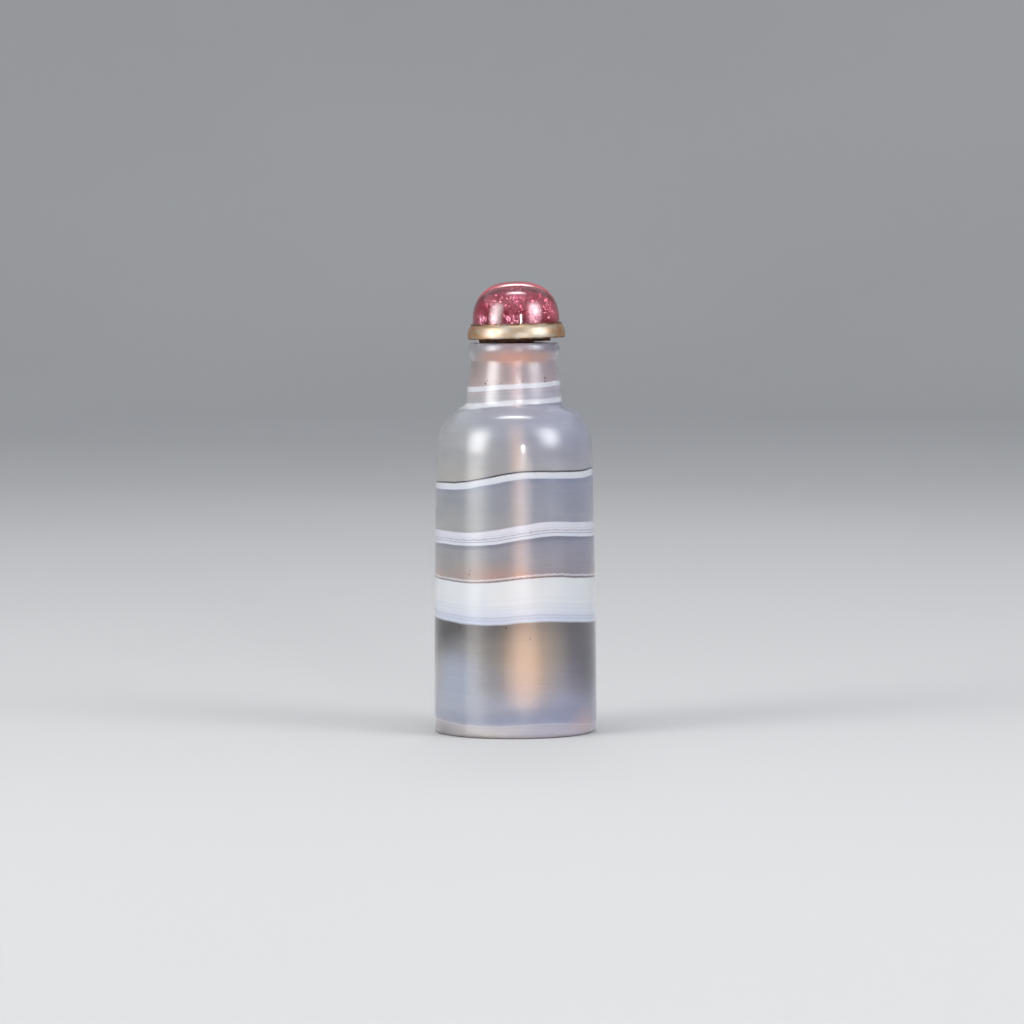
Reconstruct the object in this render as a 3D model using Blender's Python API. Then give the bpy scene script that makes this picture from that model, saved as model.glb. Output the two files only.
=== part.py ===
"""Snuff bottle of banded agate, with its stopper.

The bottle is one turned piece of stone, hollowed through a narrow mouth. The stopper is four pieces
that stand on the lip together: a cork, a bone spoon that hangs from the cork down into the snuff,
a gilt-metal collar on top of the cork, and a pink tourmaline cabochon held in the collar.

Metres, +Z up, the origin at the centre of the bottle's underside, the broad view facing -Y.
"""
import bmesh
import bpy
from math import atan2, cos, pi, radians, sin
from mathutils import Vector

# Body of the bottle
SHOULDER_R = 0.01227      # radius of the wall where it turns into the shoulder
FOOT_SPREAD = 0.00048     # how much wider it is at the foot
BASE_EDGE = 0.0008        # rounding of the edge that the bottle stands on
BODY_H = 0.0431           # underside to where the wall turns into the shoulder
SHOULDER_H = 0.0085       # height of the shoulder's curve
SHOULDER_CROWN_R = 0.0042  # radius at which that curve comes level
SHOULDER_POWER = 2.5      # 2 is an ellipse, more is squarer
# Neck and lip
NECK_FILLET = 0.0008      # hollow curve from the shoulder into the neck
NECK_ROOT_R = 0.0075      # radius of the neck just above that curve
NECK_H = 0.00605          # from there up to the groove below the lip
NECK_BOW = 1.3            # 1 is a straight taper, more holds the width for longer
WAIST_R = 0.0067          # radius of the groove
LIP_R = 0.00718           # radius of the lip's bead
LIP_RISE = 0.0017         # groove to the widest line of the bead
LIP_CAP = 0.0012          # widest line of the bead to the top of the lip
LIP_SOFTNESS = 0.0005     # how far the bead draws in towards the top
# Hollow of the bottle
WALL = 0.0024             # thickness of the stone at the sides
FLOOR = 0.0023            # thickness of the stone underneath
HOLLOW_CORNER = 0.0025    # rounding between the floor and the sides inside
HOLLOW_POWER = 2.2        # shape of the hollow under the shoulder
BORE_R = 0.0030           # the mouth, straight down through the neck
MOUTH_EDGE = 0.0003       # rounding of the mouth's rim
# Gaps
FIT = 0.0003              # between pieces that are fitted to each other
BEZEL_FIT = 0.00025       # between the cabochon and the collar round it
SEAT = 0.00035            # between the lip and the cork's head
# Stopper, measured upwards from the top of the lip
STOPPER_LEAN = 1.3        # degrees that it leans, with its +X side up
STOPPER_SHIFT = 0.00015   # how far it stands off the bottle's axis, towards +X
CORK_HEAD_R = 0.0056      # flat head of the cork, which lies on the lip
CORK_HEAD_H = 0.00075
CORK_PLUG_H = 0.0035      # the part of the cork inside the mouth
CORK_BEVEL = 0.0004
COLLAR_OFFSET = 0.00028   # how far the collar and its cabochon sit off the cork's middle, towards +X
COLLAR_WALL = 0.00065     # metal round the cabochon, at the foot of the collar
COLLAR_SKIRT = 0.0008     # how far the collar hangs down round the cork's head
COLLAR_WEB = 0.00045      # metal between the cork and the cabochon
BEZEL_H = 0.00115         # height of the metal that grips the cabochon
COLLAR_LEAN_IN = 0.00016  # how far the collar's side draws in before it rounds over
COLLAR_EDGE = 0.00085     # height of its rounded upper edge
BEZEL_RIM = 0.00010       # width of metal left at the very top
CABOCHON_R = 0.00684
CABOCHON_GIRDLE = 0.0009  # straight side at the foot of the cabochon
CABOCHON_RISE = 0.0065    # dome above it
CABOCHON_POWER = 2.4
# Spoon
STEM_R = 0.00075
STEM_SOCKET = 0.0025      # how deep the stem goes into the cork
SPOON_TIP_GAP = 0.0006    # between the tip of the spoon and the floor of the hollow
BOWL_L = 0.021            # length over which the stem widens into the bowl
BOWL_MOUTH_GAP = 0.0004   # room on each side of the bowl as it passes through the mouth
BOWL_T = 0.0010           # thickness of the bone in the bowl
BOWL_DISH = 0.0006        # how far the bowl's edges stand forward of its middle
BOWL_WIDEST = 0.62        # share of the bowl's length, from the stem, at which it is full width
BOWL_ROUND_FROM = 0.82    # share of it at which the round tip begins
# How finely the turned pieces are cut
BOTTLE_SIDES = 56
COLLAR_SIDES = 48
CABOCHON_SIDES = 40
CORK_SIDES = 24
SPOON_SIDES = 12
BOWL_ROWS = 12
WELD = 1e-6               # points closer than this are one point

LEFT_OVER = list(bpy.data.objects)
for thing in LEFT_OVER:
    bpy.data.objects.remove(thing, do_unlink=True)


def material(name, colour, roughness, metallic=0.0, coat=0.0):
    made = bpy.data.materials.new(name)
    made.use_nodes = True
    made.diffuse_color = (*colour, 1.0)
    shader = made.node_tree.nodes["Principled BSDF"]
    shader.inputs["Base Color"].default_value = (*colour, 1.0)
    shader.inputs["Roughness"].default_value = roughness
    shader.inputs["Metallic"].default_value = metallic
    shader.inputs["Coat Weight"].default_value = coat
    return made


def arc(centre, radii, start, end, steps, power=2.0):
    """Points (radius, height) on a rounded corner, angles in degrees. A power over 2 squares it."""
    points = []
    for step in range(steps + 1):
        angle = radians(start + (end - start) * step / steps)
        across, up = cos(angle), sin(angle)
        across = abs(across) ** (2 / power) * (1 if across > 0 else -1)
        up = abs(up) ** (2 / power) * (1 if up > 0 else -1)
        points.append((centre[0] + radii[0] * across, centre[1] + radii[1] * up))
    return points


def between(low, high, steps, curve):
    """Points (radius, height) from the height low to the height high, with the radius curve(share)."""
    shares = [step / steps for step in range(steps + 1)]
    return [(curve(share), low + (high - low) * share) for share in shares]


def bend(start, corner, end, steps):
    """Points on a smooth curve that leaves start towards corner and arrives at end."""
    points = []
    for step in range(steps + 1):
        t = step / steps
        weights = (1 - t) ** 2, 2 * t * (1 - t), t ** 2
        points.append(tuple(sum(w * p[i] for w, p in zip(weights, (start, corner, end))) for i in (0, 1)))
    return points


def finish(name, work, look, crease):
    """Make a mesh object of the bmesh work, closed, faces outward, smooth but for edges over crease."""
    bmesh.ops.remove_doubles(work, verts=work.verts, dist=WELD)
    bmesh.ops.recalc_face_normals(work, faces=work.faces)
    mesh = bpy.data.meshes.new(name)
    work.to_mesh(mesh)
    work.free()
    mesh.shade_smooth()
    mesh.set_sharp_from_angle(angle=radians(crease))
    mesh.materials.append(look)
    piece = bpy.data.objects.new(name, mesh)
    bpy.context.scene.collection.objects.link(piece)
    return piece


def turned(name, outline, sides, look, crease=35):
    """Turn an outline of points (radius, height) round the Z axis. Both its ends lie on the axis."""
    work = bmesh.new()
    row = []
    for radius, height in outline:
        point = Vector((radius, 0, height))
        if not row or (row[-1].co - point).length > WELD:
            row.append(work.verts.new(point))
    lines = [work.edges.new(pair) for pair in zip(row, row[1:])]
    bmesh.ops.spin(work, geom=row + lines, axis=(0, 0, 1), cent=(0, 0, 0),
                   angle=2 * pi, steps=sides, use_merge=True)
    return finish(name, work, look, crease)


def wall_radius(height):
    """Outer radius of the body below the shoulder. It draws in slowly at first, then faster."""
    return SHOULDER_R + FOOT_SPREAD * (1 - (height / BODY_H) ** 2)


def shoulder_height(radius):
    """Height of the shoulder's outer curve where it has this radius."""
    across = (radius - SHOULDER_CROWN_R) / (SHOULDER_R - SHOULDER_CROWN_R)
    return BODY_H + SHOULDER_H * (1 - across ** SHOULDER_POWER) ** (1 / SHOULDER_POWER)


def shoulder_angle(radius):
    """Angle along the shoulder's outer curve, in degrees, where it has this radius."""
    across = (radius - SHOULDER_CROWN_R) / (SHOULDER_R - SHOULDER_CROWN_R)
    side = across ** (SHOULDER_POWER / 2)
    return atan2((1 - side ** 2) ** 0.5, side) * 180 / pi


NECK_FOOT = shoulder_height(NECK_ROOT_R) + NECK_FILLET
WAIST_Z = NECK_FOOT + NECK_H
BEAD_Z = WAIST_Z + LIP_RISE
LIP_TOP = BEAD_Z + LIP_CAP


def bottle_outline():
    """From the middle of the underside, up the outside, over the lip and down inside to the floor."""
    fillet_start = NECK_ROOT_R + NECK_FILLET
    outside = [(0, 0)]
    outside += arc((wall_radius(BASE_EDGE) - BASE_EDGE, BASE_EDGE), (BASE_EDGE, BASE_EDGE), -90, 0, 3)
    outside += between(BASE_EDGE, BODY_H, 5,
                       lambda share: wall_radius(BASE_EDGE + (BODY_H - BASE_EDGE) * share))
    outside += arc((SHOULDER_CROWN_R, BODY_H), (SHOULDER_R - SHOULDER_CROWN_R, SHOULDER_H),
                   0, shoulder_angle(fillet_start), 9, SHOULDER_POWER)
    outside += bend((fillet_start, shoulder_height(fillet_start)),
                    (NECK_ROOT_R, shoulder_height(NECK_ROOT_R)), (NECK_ROOT_R, NECK_FOOT), 3)
    outside += between(NECK_FOOT, WAIST_Z, 5,
                       lambda share: NECK_ROOT_R + (WAIST_R - NECK_ROOT_R) * share ** NECK_BOW)
    outside += between(WAIST_Z, BEAD_Z, 4,
                       lambda share: WAIST_R + (LIP_R - WAIST_R) * (1 - cos(pi * share)) / 2)
    outside += arc((LIP_R - LIP_SOFTNESS, BEAD_Z), (LIP_SOFTNESS, LIP_CAP), 0, 90, 4)

    mouth = arc((BORE_R + MOUTH_EDGE, LIP_TOP - MOUTH_EDGE), (MOUTH_EDGE, MOUTH_EDGE), 90, 180, 2)

    side_r = SHOULDER_R - WALL
    inside = arc((BORE_R, BODY_H), (side_r - BORE_R, SHOULDER_H - WALL), 90, 0, 7, HOLLOW_POWER)
    corner_z = FLOOR + HOLLOW_CORNER
    inside += between(BODY_H, corner_z, 4,
                      lambda share: wall_radius(BODY_H + (corner_z - BODY_H) * share) - WALL)
    corner_r = wall_radius(corner_z) - WALL - HOLLOW_CORNER
    inside += arc((corner_r, corner_z), (HOLLOW_CORNER, HOLLOW_CORNER), 0, -90, 4)
    inside += [(0, FLOOR)]
    return outside + mouth + inside


# Heights in the stopper, above the top of the lip
CORK_HEAD_TOP = SEAT + CORK_HEAD_H
WEB_FOOT = CORK_HEAD_TOP + FIT
COLLAR_FOOT = WEB_FOOT - COLLAR_SKIRT
WEB_TOP = WEB_FOOT + COLLAR_WEB
COLLAR_TOP = WEB_TOP + BEZEL_H
CABOCHON_FOOT = WEB_TOP + FIT
PLUG_FOOT = SEAT - CORK_PLUG_H


def cork_outline():
    """From the roof of the spoon's socket, round the plug and the head, to the middle of the top."""
    socket_r = STEM_R + FIT
    plug_r = BORE_R - STOPPER_SHIFT - FIT
    return [
        (0, PLUG_FOOT + STEM_SOCKET + FIT),
        (socket_r, PLUG_FOOT + STEM_SOCKET + FIT),
        (socket_r, PLUG_FOOT),
        (plug_r - CORK_BEVEL, PLUG_FOOT),
        (plug_r, PLUG_FOOT + CORK_BEVEL),
        (plug_r, SEAT),
        (CORK_HEAD_R, SEAT),
        (CORK_HEAD_R, CORK_HEAD_TOP),
        (0, CORK_HEAD_TOP),
    ]


def collar_outline():
    """From the middle of the web's underside, down the skirt, up the outside, down the bezel."""
    recess_r = CORK_HEAD_R + COLLAR_OFFSET + FIT
    bezel_r = CABOCHON_R + BEZEL_FIT
    foot_r = bezel_r + COLLAR_WALL
    edge_z = COLLAR_TOP - COLLAR_EDGE
    edge_r = foot_r - COLLAR_LEAN_IN
    outline = [(0, WEB_FOOT), (recess_r, WEB_FOOT), (recess_r, COLLAR_FOOT)]
    outline += arc((foot_r - CORK_BEVEL / 2, COLLAR_FOOT + CORK_BEVEL / 2),
                   (CORK_BEVEL / 2, CORK_BEVEL / 2), -90, 0, 2)
    outline += arc((bezel_r + BEZEL_RIM, edge_z), (edge_r - bezel_r - BEZEL_RIM, COLLAR_EDGE), 0, 90, 5)
    outline += [(bezel_r, COLLAR_TOP), (bezel_r, WEB_TOP), (0, WEB_TOP)]
    return outline


def cabochon_outline():
    """From the middle of the flat foot, up the girdle and over the dome."""
    girdle_z = CABOCHON_FOOT + CABOCHON_GIRDLE
    outline = [(0, CABOCHON_FOOT), (CABOCHON_R, CABOCHON_FOOT)]
    outline += arc((0, girdle_z), (CABOCHON_R, CABOCHON_RISE), 0, 90, 10, CABOCHON_POWER)
    return outline


def spoon(look):
    """A round stem that widens into a shallow, round-tipped bowl, with its hollow side facing -Y."""
    top = PLUG_FOOT + STEM_SOCKET
    tip = -(LIP_TOP - FLOOR - SPOON_TIP_GAP)
    bowl_half = BORE_R - BOWL_MOUTH_GAP
    sections = [(top, 0.0, 1.0), (PLUG_FOOT, 0.0, 1.0), (tip + BOWL_L, 0.0, 1.0)]
    for row in range(1, BOWL_ROWS):
        share = sin(pi / 2 * row / BOWL_ROWS)
        spread = sin(pi / 2 * min(1.0, share / BOWL_WIDEST)) ** 2
        past = max(0.0, (share - BOWL_ROUND_FROM) / (1 - BOWL_ROUND_FROM))
        sections.append((tip + BOWL_L * (1 - share), spread, (1 - past ** 2) ** 0.5))
    work = bmesh.new()
    rings = []
    for height, spread, narrowing in sections:
        half_w = (STEM_R + (bowl_half - STEM_R) * spread) * narrowing
        half_t = STEM_R + (BOWL_T / 2 - STEM_R) * spread
        ring = []
        for side in range(SPOON_SIDES):
            angle = 2 * pi * side / SPOON_SIDES
            forward = BOWL_DISH * spread * (half_w * cos(angle) / bowl_half) ** 2
            ring.append(work.verts.new((half_w * cos(angle), half_t * sin(angle) - forward, height)))
        rings.append(ring)
    for upper, lower in zip(rings, rings[1:]):
        for side in range(SPOON_SIDES):
            after = (side + 1) % SPOON_SIDES
            work.faces.new((upper[side], upper[after], lower[after], lower[side]))
    work.faces.new(rings[0])
    point = work.verts.new((0, 0, tip))
    for side in range(SPOON_SIDES):
        work.faces.new((rings[-1][side], rings[-1][(side + 1) % SPOON_SIDES], point))
    return finish("stopper_spoon", work, look, 50)


AGATE = material("banded_agate", (0.36, 0.37, 0.39), 0.12, coat=1.0)
CORK = material("cork", (0.32, 0.17, 0.09), 0.85)
GILT = material("worn_gilt", (0.68, 0.50, 0.28), 0.35, metallic=1.0)
TOURMALINE = material("pink_tourmaline", (0.66, 0.10, 0.20), 0.04, coat=1.0)
BONE = material("bone", (0.74, 0.60, 0.42), 0.45)

turned("bottle", bottle_outline(), BOTTLE_SIDES, AGATE)

stopper = bpy.data.objects.new("stopper_seat", None)
bpy.context.scene.collection.objects.link(stopper)
stopper.location = (STOPPER_SHIFT, 0, LIP_TOP)
stopper.rotation_euler = (0, -radians(STOPPER_LEAN), 0)

cork = turned("stopper_cork", cork_outline(), CORK_SIDES, CORK)
collar = turned("stopper_collar", collar_outline(), COLLAR_SIDES, GILT)
cabochon = turned("stopper_cabochon", cabochon_outline(), CABOCHON_SIDES, TOURMALINE)
for part in (cork, spoon(BONE), collar, cabochon):
    part.parent = stopper
for part in (collar, cabochon):
    part.location.x = COLLAR_OFFSET
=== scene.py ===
# %% [markdown]
# A snuff bottle of banded agate
#
# The bottle is one piece of hard, translucent stone, turned, hollowed through a mouth 6 mm wide and
# polished until it shines like wet glass. The stopper is a pink tourmaline cabochon in a gilt collar on
# a cork, and a bone spoon hangs from the cork inside the bottle.
#
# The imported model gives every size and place. This script dresses it: it turns finer copies of the
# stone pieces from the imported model's own outlines, and builds each finish out of shader nodes.

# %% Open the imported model
import bmesh
import bpy
import random
from math import atan2, cos, degrees, hypot, pi, radians, sin
from mathutils import Matrix, Vector, noise


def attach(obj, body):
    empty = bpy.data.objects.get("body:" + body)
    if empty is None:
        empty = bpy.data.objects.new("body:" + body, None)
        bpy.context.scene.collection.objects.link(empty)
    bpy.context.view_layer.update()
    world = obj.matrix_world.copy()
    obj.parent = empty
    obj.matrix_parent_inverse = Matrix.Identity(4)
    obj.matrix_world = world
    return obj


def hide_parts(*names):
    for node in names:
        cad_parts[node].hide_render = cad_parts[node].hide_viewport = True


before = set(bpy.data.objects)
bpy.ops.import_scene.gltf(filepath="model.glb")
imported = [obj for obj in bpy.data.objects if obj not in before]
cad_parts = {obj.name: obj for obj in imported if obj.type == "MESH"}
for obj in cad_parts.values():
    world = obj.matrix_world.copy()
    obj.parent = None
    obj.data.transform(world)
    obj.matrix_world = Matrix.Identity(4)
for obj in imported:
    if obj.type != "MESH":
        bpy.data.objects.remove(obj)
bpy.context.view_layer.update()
MM = 0.001
print("nodes:", sorted(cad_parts))

# %% [markdown]
# The camera
#
# The view is from a little above, through a long lens, with the bottle upright in the middle of a
# square picture. It could be placed by eye, but then the outlines could not be laid over each other:
# here the ellipses of the foot and of the collar gave the camera's height and tilt. A long lens is a
# narrow one: the focal length in pixels, times the sensor, over the picture's width.

# %% Set up the camera
PICTURE_SIDE = 1024
FOCUS_PIXELS = 4476
SENSOR_MM = 36.0
EYE = Vector((-0.41, -700.0, 76.0)) * MM
LOOKS_DOWN = radians(3.4)
ROLL = radians(-0.26)

camera_data = bpy.data.cameras.new("photo_camera")
camera_data.sensor_width = SENSOR_MM
camera_data.lens = FOCUS_PIXELS * SENSOR_MM / PICTURE_SIDE
camera = bpy.data.objects.new("photo_camera", camera_data)
bpy.context.scene.collection.objects.link(camera)
camera.matrix_world = (Matrix.Translation(EYE)
                       @ Matrix.Rotation(pi / 2 - LOOKS_DOWN, 4, "X")
                       @ Matrix.Rotation(ROLL, 4, "Z"))
bpy.context.scene.camera = camera
print("lens:", round(camera_data.lens, 1), "mm")

# %% [markdown]
# Node helpers
#
# A shader is a graph of small nodes. It could be drawn by hand in the shader editor, but a formula can
# be read, changed and used again. These helpers write one down: put() adds one node, fill() gives its
# inputs their values or links, and calc(), mix() and ramp() add the three kinds used most.

# %% Add a node
def fill(tree, node, inputs):
    """inputs maps a socket's name or number to a value or to another node's output."""
    for name, value in inputs.items():
        if isinstance(value, bpy.types.NodeSocket):
            tree.links.new(value, node.inputs[name])
        else:
            node.inputs[name].default_value = value


def put(tree, kind, inputs=None, **settings):
    """Add a node. settings are its own fields, such as a Math node's operation."""
    made = tree.nodes.new(kind)
    for name, value in settings.items():
        setattr(made, name, value)
    fill(tree, made, inputs or {})
    return made


print("nodes of Blender", bpy.app.version_string)


# %% Reckon with values and colours
def calc(tree, operation, *values):
    return put(tree, "ShaderNodeMath", dict(enumerate(values)), operation=operation).outputs[0]


def ramp(tree, value, low, high, to_low=0.0, to_high=1.0, smooth=True):
    """A value that goes from to_low to to_high as the given one goes from low to high."""
    kind = "SMOOTHSTEP" if smooth else "LINEAR"
    return put(tree, "ShaderNodeMapRange", {"Value": value, "From Min": low, "From Max": high,
               "To Min": to_low, "To Max": to_high}, interpolation_type=kind).outputs["Result"]


MIX_SHARE, MIX_FIRST, MIX_SECOND, MIX_COLOUR = 0, 6, 7, 2      # the Mix node's sockets for colours


def mix(tree, share, first, second, blend="MIX"):
    """Mix two colours. first and second are sockets, or (r, g, b) in linear light."""
    def colour(value):
        return value if isinstance(value, bpy.types.NodeSocket) else (*value, 1.0)
    inputs = {MIX_SHARE: share, MIX_FIRST: colour(first), MIX_SECOND: colour(second)}
    return put(tree, "ShaderNodeMix", inputs, data_type="RGBA", blend_type=blend).outputs[MIX_COLOUR]


def srgb(red, green, blue):
    """A colour given as 0 to 255 in a picture, as the linear light that Blender's shaders use."""
    def linear(value):
        share = value / 255
        return share / 12.92 if share <= 0.04045 else ((share + 0.055) / 1.055) ** 2.4
    return linear(red), linear(green), linear(blue)


print("the middle grey of a picture, in linear light:", [round(value, 3) for value in srgb(128, 128, 128)])


# %% Grain and places
def grain(tree, point, scale, detail=3.0, rough=0.55, warp=0.0):
    """Fractal noise, about 0.5 on average."""
    return put(tree, "ShaderNodeTexNoise", {"Vector": point, "Scale": scale, "Detail": detail,
               "Roughness": rough, "Distortion": warp}).outputs["Fac"]


def stretch(tree, point, scale, move=(0.0, 0.0, 0.0)):
    return put(tree, "ShaderNodeMapping", {"Vector": point, "Location": move, "Scale": scale}).outputs[0]


def millimetres(tree):
    """The place of a point on the object, in millimetres. The pieces are drawn in the world's own frame."""
    place = put(tree, "ShaderNodeTexCoord").outputs["Object"]
    return put(tree, "ShaderNodeVectorMath", {0: place, 1: (1 / MM,) * 3}, operation="MULTIPLY").outputs[0]


def from_axis(tree, point, axis):
    """How far a point is from an upright line. axis is where the line stands, right and back."""
    flat = stretch(tree, point, (1.0, 1.0, 0.0), (-axis[0], -axis[1], 0.0))
    return put(tree, "ShaderNodeVectorMath", {0: flat}, operation="LENGTH").outputs["Value"]


def near(tree, point, place, upright, radius, soft=0.5):
    """A round mask about a place inside a piece. upright is its reach up and down, radius about."""
    flat = (1.0, 1.0, radius / upright)
    middle = tuple(a * b for a, b in zip(place, flat))
    away = put(tree, "ShaderNodeVectorMath", {0: stretch(tree, point, flat), 1: middle}, operation="DISTANCE")
    return ramp(tree, away.outputs["Value"], radius * (1 - soft), radius, 1.0, 0.0)


print("a millimetre is", MM, "of Blender's units")


# %% Make groups and materials
SOCKETS = {"value": "NodeSocketFloat", "vector": "NodeSocketVector", "colour": "NodeSocketColor"}


def group(name, inputs, outputs):
    """A shader node group with named sockets. Each socket is (name, kind)."""
    tree = bpy.data.node_groups.new(name, "ShaderNodeTree")
    for way, sockets in (("INPUT", inputs), ("OUTPUT", outputs)):
        for label, kind in sockets:
            tree.interface.new_socket(label, in_out=way, socket_type=SOCKETS[kind])
    return tree, tree.nodes.new("NodeGroupInput").outputs, tree.nodes.new("NodeGroupOutput").inputs


def use(tree, made_group, inputs):
    """Place a node group in a material and return its outputs."""
    return put(tree, "ShaderNodeGroup", inputs, node_tree=made_group).outputs


def new_material(name, preview):
    """An empty material with a Principled shader, and its tree."""
    made = bpy.data.materials.new(name)
    made.use_nodes = True
    made.diffuse_color = (*preview, 1.0)
    tree = made.node_tree
    return made, tree, tree.nodes["Principled BSDF"]


print("a group's sockets can be:", ", ".join(SOCKETS))

# %% [markdown]
# The outlines
#
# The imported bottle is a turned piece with 56 flat sides. That is enough to stand on, but light bends
# through polished stone at every facet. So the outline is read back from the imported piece, smoothed
# with a curve through its points wherever it isn't a true corner, and turned again with many sides.
# Reading it back, rather than drawing it again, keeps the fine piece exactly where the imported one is.

# %% Read the outline of a turned piece
SAME_POINT = 2e-6


def turning_frame(node):
    """Where a turned piece stands: its Z up its axis, its X to the right, its origin amid its flat foot."""
    down, middle, area = Vector(), Vector(), 0.0
    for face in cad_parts[node].data.polygons:
        if face.normal.z < -0.99:
            down += face.normal * face.area
            middle += face.center * face.area
            area += face.area
    up = (-down).normalized()
    right = (Vector((1, 0, 0)) - up * up.x).normalized()
    turn = Matrix((right, up.cross(right), up)).transposed()
    return Matrix.Translation(middle / area) @ turn.to_4x4()


def packed_outline(node, place):
    """The corners (radius, height) of a turned node's half section, in order from its foot."""
    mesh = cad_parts[node].data
    back = place.inverted()
    local = [back @ vertex.co for vertex in mesh.vertices]
    key = [(round(hypot(v.x, v.y) / SAME_POINT), round(v.z / SAME_POINT)) for v in local]
    corner = {name: (hypot(v.x, v.y), v.z) for name, v in zip(key, local)}
    angle = [atan2(v.y, v.x) for v in local]
    beside = {}
    for edge in mesh.edges:
        a, b = edge.vertices
        apart = abs(angle[a] - angle[b])
        upright = min(apart, 2 * pi - apart) < radians(0.5)
        to_axis = min(corner[key[a]][0], corner[key[b]][0]) < SAME_POINT
        if key[a] != key[b] and (upright or to_axis):
            beside.setdefault(key[a], set()).add(key[b])
            beside.setdefault(key[b], set()).add(key[a])
    ends = [name for name, others in beside.items() if len(others) == 1]
    walk = [min(ends, key=lambda name: corner[name][1])]
    while len(walk) == 1 or len(beside[walk[-1]]) > 1:
        walk.append(next(name for name in beside[walk[-1]] if name not in walk[-2:]))
    return [corner[name] for name in walk]


print("corners of the packed bottle's outline:", len(packed_outline("bottle", Matrix.Identity(4))))


# %% Smooth an outline
def smooth_outline(points, finer, corner=50):
    """Curve between the points, but keep each turn of more than corner degrees as it is. A point on the
    axis at the end is a smooth crown, so the curve arrives there level."""
    points = [Vector(point) for point in points]
    sharp = {0, len(points) - 1}
    for i in range(1, len(points) - 1):
        if degrees((points[i] - points[i - 1]).angle(points[i + 1] - points[i])) > corner:
            sharp.add(i)
    smooth = []
    for i in range(len(points) - 1):
        a, b = points[i], points[i + 1]
        before = 2 * a - b if i in sharp else points[i - 1]
        after = 2 * b - a if i + 1 in sharp else points[i + 2]
        if i + 2 == len(points) and b.x < SAME_POINT:
            after = Vector((-a.x, a.y))
        into = (b - before).normalized() * (b - a).length
        out = (after - a).normalized() * (b - a).length
        for step in range(finer):
            t = step / finer
            smooth.append(a * (2 * t**3 - 3 * t**2 + 1) + into * (t**3 - 2 * t**2 + t)
                          + b * (3 * t**2 - 2 * t**3) + out * (t**3 - t**2))
    return [(max(0.0, point.x), point.y) for point in smooth + [points[-1]]]


print("points on two smoothed lines:", len(smooth_outline([(1, 0), (2, 0), (2, 1)], 4)))


# %% Turn an outline
def add_piece(name, work, look):
    """Make an object with one material from a bmesh, and free the bmesh."""
    mesh = bpy.data.meshes.new(name)
    work.to_mesh(mesh)
    work.free()
    mesh.shade_smooth()
    mesh.materials.append(look)
    piece = bpy.data.objects.new(name, mesh)
    bpy.context.scene.collection.objects.link(piece)
    print(name, "has", len(mesh.polygons), "faces")
    return piece


def spun(outline, sides):
    """A bmesh of an outline (radius, height) turned once round the Z axis."""
    work = bmesh.new()
    row = [work.verts.new((radius, 0, height)) for radius, height in outline]
    lines = [work.edges.new(pair) for pair in zip(row, row[1:])]
    bmesh.ops.spin(work, geom=row + lines, axis=(0, 0, 1), cent=(0, 0, 0), angle=2 * pi,
                   steps=sides, use_merge=True)
    return work


def turned_piece(name, outline, sides, place, look, wobble=0.0, wobble_size=0.006):
    """Turn an outline (radius, height) round the axis of place. wobble is how far a hand-ground surface
    dips below its true shape, and wobble_size how far apart its dips are, in metres."""
    if outline[0][0] > SAME_POINT:
        outline = [(0.0, outline[0][1])] + outline
    if outline[-1][0] > SAME_POINT:
        outline = outline + [(0.0, outline[-1][1])]
    work = spun(outline, sides)
    bmesh.ops.remove_doubles(work, verts=work.verts, dist=SAME_POINT / 4)
    bmesh.ops.recalc_face_normals(work, faces=work.faces)
    work.normal_update()
    if wobble:
        for vertex in work.verts:
            dip = noise.noise(vertex.co / wobble_size) * 0.5 + 0.5
            vertex.co -= vertex.normal * wobble * dip
    work.transform(place)
    piece = add_piece(name, work, look)
    piece.data.set_sharp_from_angle(angle=radians(40))
    return piece


# %% [markdown]
# The layers of the agate
#
# Agate grew in a cavity, layer on layer, so its bands are sheets that run right through the stone, and
# a carved surface cuts them open. A picture wrapped round the bottle could show them from one side, but
# not in the lip, the bore and the hollow. So the colour here is a function of a point in space.
# The group below gives a point's level, its height with the sheets' slow wave taken out. The wave tilts
# more and shifts as it goes up, and runs on round the back. All numbers are in millimetres.

# %% The level group
WAVE_LENGTH = 22.0
WAVE_HEIGHTS = (20.0, 31.5, 40.5, 53.0)      # heights at which the three rows below are given
WAVE_TILT = (-0.021, 0.055, 0.086, 0.060)    # rise towards the right, per millimetre
WAVE_SWAY = (0.356, 0.465, 0.474, 0.044)     # half the height of the wave
WAVE_START = (0.88, 1.12, 4.40, 3.44)        # how far the wave is moved to the left
WAVE_TWIST = 0.05                            # turn of the wave towards the back, radians per millimetre
WAVE_RISE = 0.01                             # rise towards the back, per millimetre
FRONT = 11.0                                 # how far in front of the axis the twist begins
UNEVEN = ((0.22, 1.0, 0.17), (1.6, 2.0, 0.025))     # grains per mm, detail, how far they move a sheet


def along_height(tree, height, values):
    """A value that goes in straight steps through values at WAVE_HEIGHTS."""
    total = values[0]
    for low, high, here, there in zip(WAVE_HEIGHTS, WAVE_HEIGHTS[1:], values, values[1:]):
        step = ramp(tree, height, low, high, 0.0, there - here, smooth=False)
        total = calc(tree, "ADD", total, step)
    return total


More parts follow.
